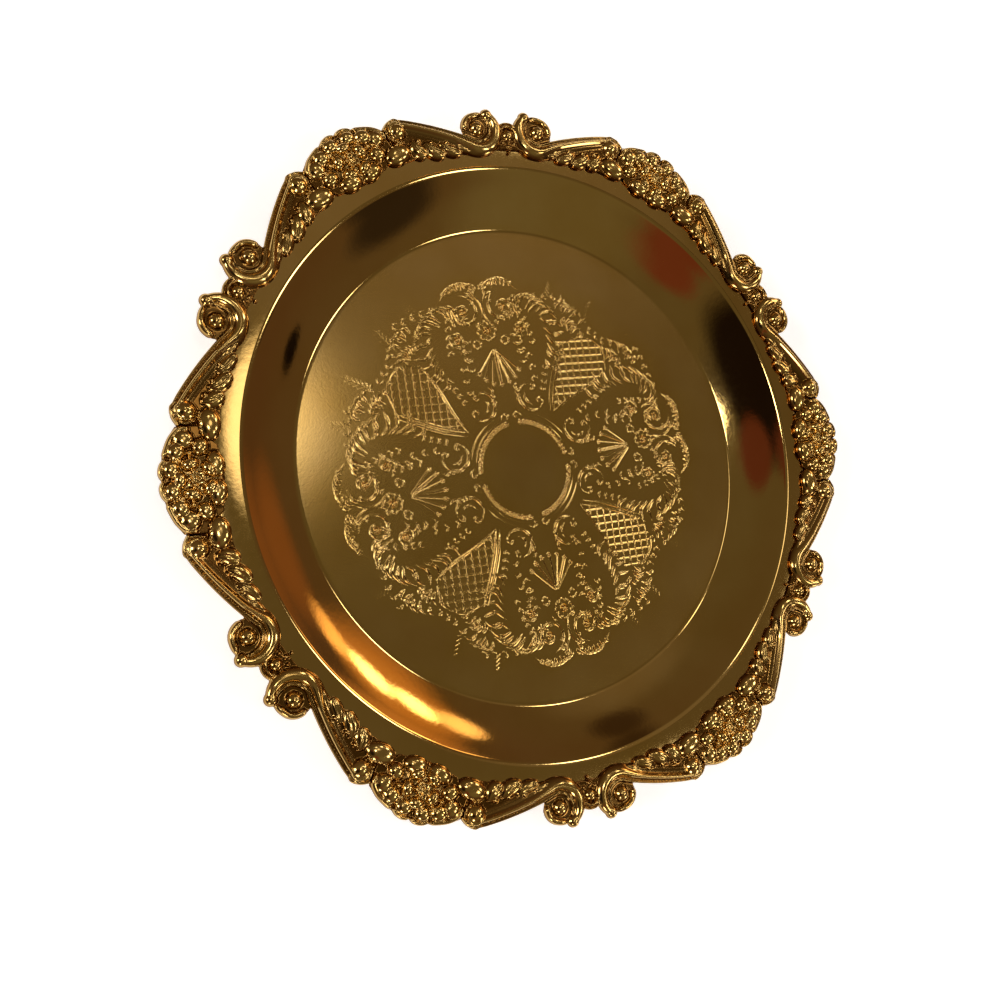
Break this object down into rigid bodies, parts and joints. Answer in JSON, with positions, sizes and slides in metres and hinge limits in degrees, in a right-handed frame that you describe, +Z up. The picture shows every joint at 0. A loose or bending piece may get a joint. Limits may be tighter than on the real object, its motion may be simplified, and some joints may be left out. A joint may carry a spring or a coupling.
{
  "type": "candle plate",
  "caption": "Round shallow metal plate for candles with a flat engraved base, a sloping wall and a scalloped border of roses and scrolls.",
  "frame": {"origin": "middle of the underside of the flat base, on the surface that the plate stands on", "axes": "+Z up out of the dish, +Y towards the first rose of the border"},
  "size_m": [0.2482, 0.2532, 0.0161],
  "materials": {
    "polished_gold": "mirror-polished gold-toned metal",
    "satin_gold": "satin gold-toned metal with a chased pattern",
    "cast_gold": "polished gold-toned casting with dark recesses"
  },
  "bodies": {
    "root": {"dish": "polished_gold", "rose_mount_1": "cast_gold", "rose_mount_2": "cast_gold", "rose_mount_3": "cast_gold", "rose_mount_4": "cast_gold", "rose_mount_5": "cast_gold", "rose_mount_6": "cast_gold", "scroll_mount_1": "cast_gold", "scroll_mount_2": "cast_gold", "scroll_mount_3": "cast_gold", "scroll_mount_4": "cast_gold", "scroll_mount_5": "cast_gold", "scroll_mount_6": "cast_gold"}
  },
  "joints": []
}
